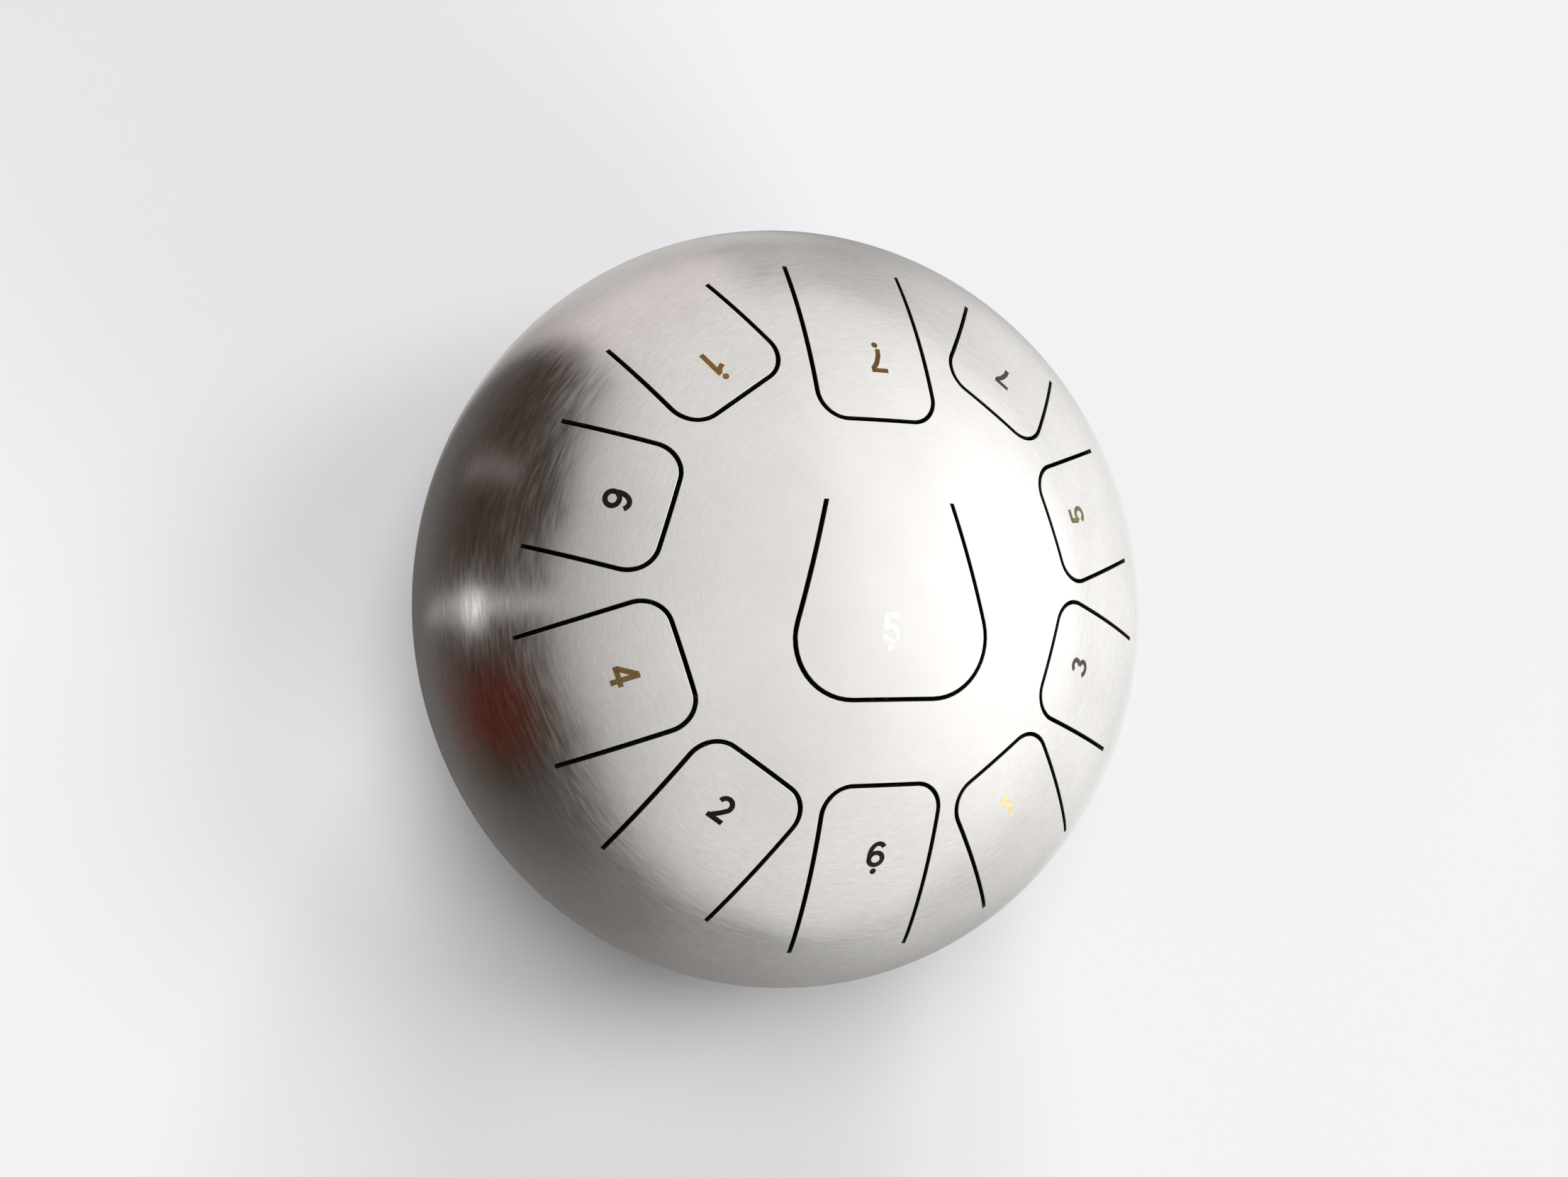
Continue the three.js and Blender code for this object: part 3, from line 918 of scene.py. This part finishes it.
class TonguesOperator(bpy.types.Operator):
    """Eleven tongues with their numerals"""

    bl_idname = "tongue_drum.tongues"
    bl_label = "Tongues"

    def execute(self, context):
        sizes, look = settings(context)
        lift = dome_lift(sizes)
        for plan in tongue_plans(sizes):
            self.tongue(plan, sizes, look, lift)
        return {"FINISHED"}

    def tongue(self, plan, sizes, look, lift):
        step, bevel, half = cut_sizes(sizes)
        edge = tongue_path(plan, -half - bevel, step)
        chord = root_points(plan, sizes, step)[1:-1]
        loop = to_plan(plan, np.vstack([edge, chord]))
        brim = to_plan(plan, tongue_path(plan, -half, step))
        marks = self.marks(plan, sizes, lift)
        grain = rows_of_points(sizes.drum_radius * MM, step)
        grain = grain[inside(grain, loop)]
        clear = distance_to(grain, loop) > EDGE_STEPS * step
        for mark in marks:
            clear &= distance_to(grain, mark) > MARK_STEPS * step
        sheet = Sheet(lift, sizes.wall * MM)
        ((outer, inner),) = sheet.plate(loop, [], grain[clear], marks)
        sheet.cut_edge(outer, inner, brim, bevel, len(chord))
        note = plan.note
        made = sheet.build(f"tongue_{note}_steel", steel_finishes(look))
        # The numeral's colour: heat tint with its reflected light or dark painted in
        tint = made.data.color_attributes.new("mark_tint_and_reflection", "FLOAT_COLOR", "POINT")
        tint.data.foreach_set("color", list(colour(MARKS[note][2])) * len(made.data.vertices))
        ends = to_plan(plan, np.array([(plan.root, 0.0), (0.5 * (plan.root + plan.tip), 0.0)]))
        start, end = (Vector(p) / MM for p in lift(ends)[0])
        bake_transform(made)
        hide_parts(f"tongue_{note}")

    def marks(self, plan, sizes, lift):
        """Outlines of the numeral in plan, foreshortened by the dome."""
        note = plan.note
        along, aside, _ = MARKS[note]
        middle = plan.tip + sizes.mark_place * (plan.root - plan.tip)
        centre = plan.ahead * (middle + along) + plan.side * aside
        up = plan.ahead if note == CENTRE_NOTE else -plan.ahead
        right = np.array([up[1], -up[0]])
        rise = lift(centre[None])[1][0, 2]
        return [centre + p[:, :1] * right + p[:, 1:] * up * rise for p in numeral_outlines(note, sizes)]


class BottomShellOperator(bpy.types.Operator):
    """Bottom shell with its sound hole and screw holes"""

    bl_idname = "tongue_drum.bottom_shell"
    bl_label = "Bottom Shell"

    def execute(self, context):
        sizes, look = settings(context)
        step, bevel = BOTTOM_STEP * sizes.mesh_step * MM, BOTTOM_BEVEL * sizes.edge_break * MM
        reach, count = sizes.floor_radius * MM, sizes.rim_steps
        level = sizes.floor_height * MM
        shoulder = RIM_HEIGHT - level
        rims = [(sizes.sound_hole_radius * MM, SOUND_HOLE_POINTS, (0.0, 0.0))]
        for foot in FEET:
            low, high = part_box(f"foot_screw_{foot}")
            rims.append((sizes.screw_hole_radius * MM, SCREW_HOLE_POINTS, tuple(((low + high) / 2 * MM)[:2])))

        def lift(points):
            return np.c_[points, np.full(len(points), level)], np.tile((0.0, 0.0, -1.0), (len(points), 1))

        holes = [circle(radius + bevel, parts, centre) for radius, parts, centre in rims]
        grain = plate_points(reach, step, holes, HOLE_STEPS * step)
        sheet = Sheet(lift, sizes.wall * MM)
        (outer, inner), *cuts = sheet.plate(circle(reach, count), holes, grain)
        for (top, under), rim in zip(cuts, rims):
            sheet.cut_edge(top, under, circle(*rim), bevel)
        sheet.rings(outer, inner, shoulder_rows(reach, shoulder, math.pi / 2, BOTTOM_ROWS, count, True))
        shell = sheet.build("bottom_shell_steel", steel_finishes(look))
        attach(shell, "drum")
        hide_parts("bottom_shell")
        return {"FINISHED"}


class RimWeldOperator(bpy.types.Operator):
    """Weld band between the shells, ground flush"""

    bl_idname = "tongue_drum.rim_weld"
    bl_label = "Rim Weld"

    def execute(self, context):
        sizes, look = settings(context)
        outer, inner = sizes.drum_radius * MM, (sizes.drum_radius - sizes.wall) * MM
        low, high = WELD_LOW.z * MM, WELD_HIGH.z * MM
        groove = sizes.edge_break * MM / 2
        rows = [(np.full(sizes.rim_steps, outer), z) for z in np.linspace(low, high, WELD_ROWS)]
        for end in (0, -1):
            rows[end] = (outer - groove, rows[end][1])
        rows += [(inner - groove, high), (inner - groove, low)]
        finish = shared(brushed_steel, "ground_weld", look, WELD_ROUGHNESS, WELD_BUMP)
        band = turned("rim_weld_band", rows, finish, (0, 0, 0))
        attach(band, "drum")
        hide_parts("rim_weld")
        return {"FINISHED"}


class FeetOperator(bpy.types.Operator):
    """Three rubber feet under the bottom shell"""

    bl_idname = "tongue_drum.feet"
    bl_label = "Feet"

    def execute(self, context):
        sizes, look = settings(context)
        low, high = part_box("foot_1")
        washer_low, washer_high = box_of("foot_washer_1")
        radius, pocket = (high.x - low.x) / 2 * MM, (washer_high.x - washer_low.x) / 2 + CLEARANCE
        top, ceiling = sizes.floor_height * MM, washer_high.z + CLEARANCE
        hole = sizes.screw_hole_radius * MM
        corners = ((hole, top), (hole, ceiling), (pocket, ceiling), (pocket, 0), (radius, 0), (radius, top))
        mouth, rounding = 0.25, 0.9
        rows = rounded(corners, (0, 0, 0, mouth, rounding, rounding), FOOT_POINTS)
        finish = shared(rubber, "foot_rubber", look)
        for foot in FEET:
            made = turned(f"foot_{foot}_rubber", rows, finish, middle_of(f"foot_{foot}"))
            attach(made, "drum")
            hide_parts(f"foot_{foot}")
        return {"FINISHED"}


class FastenersOperator(bpy.types.Operator):
    """Screw, washer and nut of each foot"""

    bl_idname = "tongue_drum.fasteners"
    bl_label = "Fasteners"

    def execute(self, context):
        finish = shared(zinc_plate, "zinc_plate", context.scene.drum_finish)
        for foot in FEET:
            for kind, rows in (("washer", self.washer()), ("screw", self.screw()), ("nut", self.nut())):
                centre = middle_of(f"foot_{kind}_{foot}")
                made = turned(f"foot_{kind}_{foot}_zinc", rows, finish, centre, kind != "screw")
                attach(made, "drum")
                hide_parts(f"foot_{kind}_{foot}")
        return {"FINISHED"}

    def washer(self):
        """Rows of a washer on the screw's head."""
        low, high = box_of("foot_washer_1")
        radius, bottom = (high.x - low.x) / 2, low.z - CLEARANCE
        bore, bore_edge, rim_edge = 1.6, 0.08, 0.2
        corners = ((bore, bottom), (radius, bottom), (radius, high.z), (bore, high.z))
        return rounded(corners, (bore_edge, rim_edge, rim_edge, bore_edge), FASTENER_POINTS, steps=3)

    def screw(self):
        """Rows of a screw, from its socket up its thread."""
        low, high = box_of("foot_screw_1")
        head, head_top = (high.x - low.x) / 2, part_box("foot_washer_1")[0].z * MM - CLEARANCE
        shank, pitch, depth, rows_per_turn, head_rows = 1.5, 0.5, 0.14, 6, 7
        run_in, run_out, point, rounding, socket_reach = 0.2, 0.35, 0.3, 0.7, 1.2
        turns = turns_round(FASTENER_POINTS)
        socket = socket_reach * math.cos(math.pi / 6) * hexagon(turns)
        rows = [(socket * share, low.z + height) for share, height in SOCKET]
        for lean in np.linspace(0, math.pi / 2, head_rows):
            inset, rise = rounding - rounding * math.sin(lean), rounding - rounding * math.cos(lean)
            rows.append((head - inset, low.z + rise))
        rows += [(head, head_top), (shank, head_top)]
        for z in np.arange(head_top + run_in, high.z - run_out, pitch / rows_per_turn):
            phase = (z / pitch - turns / (2 * math.pi)) % 1.0
            rows.append((shank - depth * np.abs(2 * phase - 1), z))
        return [*rows, (shank - depth, high.z - point), (shank - run_out, high.z), (0.0, high.z)]

    def nut(self):
        """Rows of a nut with chamfered corners and bore."""
        low, high = box_of("foot_nut_1")
        flat, bottom = (high.y - low.y) / 2, low.z - CLEARANCE
        bore, mouth, mouth_depth, slope, crown_share = 1.55, 1.8, 0.25, math.radians(30), 0.97
        corner, crown = flat * hexagon(turns_round(NUT_POINTS)), flat * crown_share
        drop = (corner - crown) * math.tan(slope)
        return [(mouth, bottom), (crown, bottom), (corner, bottom + drop), (corner, high.z - drop),
                (crown, high.z), (mouth, high.z), (bore, high.z - mouth_depth), (bore, bottom + mouth_depth)]


class Room(Nodes):
    """The room that the steel mirrors, in the making."""

    def __init__(self, world):
        world.use_nodes = True
        super().__init__(world.node_tree)
        self.look = self.vector("NORMALIZE", self.node("TexCoord").outputs["Generated"])
        self.level = self.vector("NORMALIZE", self.vector("MULTIPLY", self.look, (1, 1, 0)))
        self.height = self.math("ARCSINE", self.split(self.look)[2])

    def towards(self, direction, azimuth, height=0.0):
        """Cosine of the angle to an azimuth and height in degrees."""
        turn, lift = math.radians(azimuth), math.radians(height)
        ray = (math.cos(turn) * math.cos(lift), math.sin(turn) * math.cos(lift), math.sin(lift))
        return self.vector("DOT_PRODUCT", direction, ray, output="Value")

    def turn_from(self, azimuth):
        return self.math("ARCCOSINE", self.towards(self.level, azimuth))

    def shades(self, cosine, stops):
        """Light along a row of stops. The ramp holds it as shares of the room's peak."""
        ramp = self.node("ValToRGB", ((0, self.spread(cosine, -1.0, 1.0)),))
        ramp.color_ramp.interpolation = "CARDINAL"
        while len(ramp.color_ramp.elements) < len(stops):
            ramp.color_ramp.elements.new(1.0)
        for stop, (place, shade) in zip(ramp.color_ramp.elements, stops):
            stop.position = (place + 1) / 2
            stop.color = colour(part / ROOM_PEAK for part in shade)
        return self.mix(1.0, ramp.outputs[0], colour((ROOM_PEAK,) * 3), "MULTIPLY")

    def edge(self, value, far, near):
        """A soft step from far to near."""
        ends = enumerate((value, far, near))
        return self.node("MapRange", ends, interpolation_type="SMOOTHSTEP").outputs[0]

    def panel(self, before, azimuth, half, low, high, soft, light):
        half, low, high, soft = (math.radians(angle) for angle in (half, low, high, soft))
        across = self.edge(self.turn_from(azimuth), half + soft, half - soft)
        over = self.edge(self.height, low - soft, low + soft)
        under = self.edge(self.height, high + soft, high - soft)
        share = self.math("MULTIPLY", across, self.math("MULTIPLY", over, under))
        return self.mix(share, before, colour(light))

    def light(self):
        """Walls with their panels below a soft brow, and the sky above it."""
        walls = self.shades(self.towards(self.level, WALL_SIDE), ROOM_WALL)
        for spot in ROOM_PANELS:
            walls = self.panel(walls, *spot)
        fade = self.spread(self.height, *map(math.radians, FLOOR_FADE), 1.0, 0.0)
        walls = self.mix(fade, walls, colour(ROOM_FLOOR))
        for spot in ROOM_GLOWS:
            walls = self.panel(walls, *spot)
        sky = self.shades(self.towards(self.look, *SKY_POINT), ROOM_SKY)
        brow = self.spread(self.turn_from(BROW_AZIMUTH), *map(math.radians, (*BROW_TURNS, *BROW_HEIGHTS)))
        above = self.math("SUBTRACT", self.height, brow)
        soft = math.radians(BROW_SOFT)
        return self.mix(self.edge(above, -soft, soft), walls, sky)


class StageOperator(bpy.types.Operator):
    """Floor, room light, soft lights and camera"""

    bl_idname = "tongue_drum.stage"
    bl_label = "Stage"

    def execute(self, context):
        scene = context.scene
        stage, look = scene.drum_stage, scene.drum_finish
        for floor in FLOORS:
            self.floor(look, *floor)
        self.room(scene, stage, look)
        for light in STUDIO_LIGHTS:
            self.soft_light(stage, *light)
        self.camera(scene, stage)
        scene.view_settings.view_transform = "Standard"
        return {"FINISHED"}

    def floor(self, look, name, reach, height, shade):
        """A round floor. The steel doesn't mirror the pale one, but mirrors the dark disc of painted shade.
        """
        points = np.c_[circle(reach, FLOOR_POINTS), np.full(FLOOR_POINTS, height)]
        face = list(range(FLOOR_POINTS))
        floor = put(name, new_mesh(name, points, [face], [floor_paper(name, look, shade)]))
        floor.visible_glossy = name == PAINTED_SHADE_DISC

    def room(self, scene, stage, look):
        """The room where steel mirrors it directly, even light elsewhere, and a backdrop."""
        scene.world = bpy.data.worlds.new("studio_room")
        room = Room(scene.world)
        paths = room.node("LightPath").outputs
        direct = room.math("LESS_THAN", paths["Diffuse Depth"], 0.5)
        mirrored = room.math("MULTIPLY", paths["Is Glossy Ray"], direct)
        seen = room.mix(mirrored, colour((stage.world_strength,) * 3), room.light())
        seen = room.mix(paths["Is Camera Ray"], seen, colour(look.backdrop))
        room.feed(room.tree.nodes["Background"].inputs["Color"], seen)

    def soft_light(self, stage, name, azimuth, height, across, strength):
        """Soft light from one side, which the steel doesn't mirror."""
        data = bpy.data.lights.new(name, "SUN")
        data.energy, data.angle = strength * stage.light_strength, math.radians(across)
        light = put(name, data)
        light.rotation_euler = (0, math.radians(90 - height), math.radians(azimuth))
        light.visible_glossy = False

    def camera(self, scene, stage):
        place, aim = Vector(stage.camera_place), Vector(stage.camera_aim)
        ahead = (aim - place).normalized()
        right = ahead.cross(Vector((0, 1, 0))).normalized()
        up = right.cross(ahead)
        turn = Matrix.Rotation(stage.camera_roll, 3, ahead)
        axes = Matrix((turn @ right, turn @ up, -ahead)).transposed()
        data = bpy.data.cameras.new("photo_camera")
        data.lens = stage.camera_focus / PHOTO_WIDTH * data.sensor_width
        data.clip_start = CAMERA_CLIP
        scene.camera = put("photo_camera", data)
        scene.camera.matrix_world = Matrix.Translation(place) @ axes.to_4x4()


class DrumPanel(bpy.types.Panel):
    """Lists the drum's sizes, colours and pieces"""

    bl_idname = "VIEW3D_PT_tongue_drum"
    bl_label = "Tongue Drum"
    bl_space_type = "VIEW_3D"
    bl_region_type = "UI"
    bl_category = "Drum"

    def draw(self, context):
        for key, group in GROUPS.items():
            box = self.layout.box()
            for name in group.__annotations__:
                box.prop(getattr(context.scene, key), name)
        for maker in OPERATORS:
            self.layout.operator(maker.bl_idname)


GROUPS = {"drum_sizes": DrumSizes, "drum_finish": DrumFinish, "drum_stage": DrumStage}
OPERATORS = (TopShellOperator, TonguesOperator, BottomShellOperator, RimWeldOperator, FeetOperator,
             FastenersOperator, StageOperator)
CLASSES = (*GROUPS.values(), *OPERATORS, DrumPanel)


def register():
    for item in CLASSES:
        bpy.utils.register_class(item)
    for name, group in GROUPS.items():
        setattr(bpy.types.Scene, name, PointerProperty(type=group))


def unregister():
    for name in GROUPS:
        delattr(bpy.types.Scene, name)
    for item in reversed(CLASSES):
        bpy.utils.unregister_class(item)


def main():
    register()
    bpy.ops.tongue_drum.top_shell()
    bpy.ops.tongue_drum.tongues()
    bpy.ops.tongue_drum.bottom_shell()
    bpy.ops.tongue_drum.rim_weld()
    bpy.ops.tongue_drum.feet()
    bpy.ops.tongue_drum.fasteners()
    bpy.ops.tongue_drum.stage()


if __name__ == "__main__":
    main()
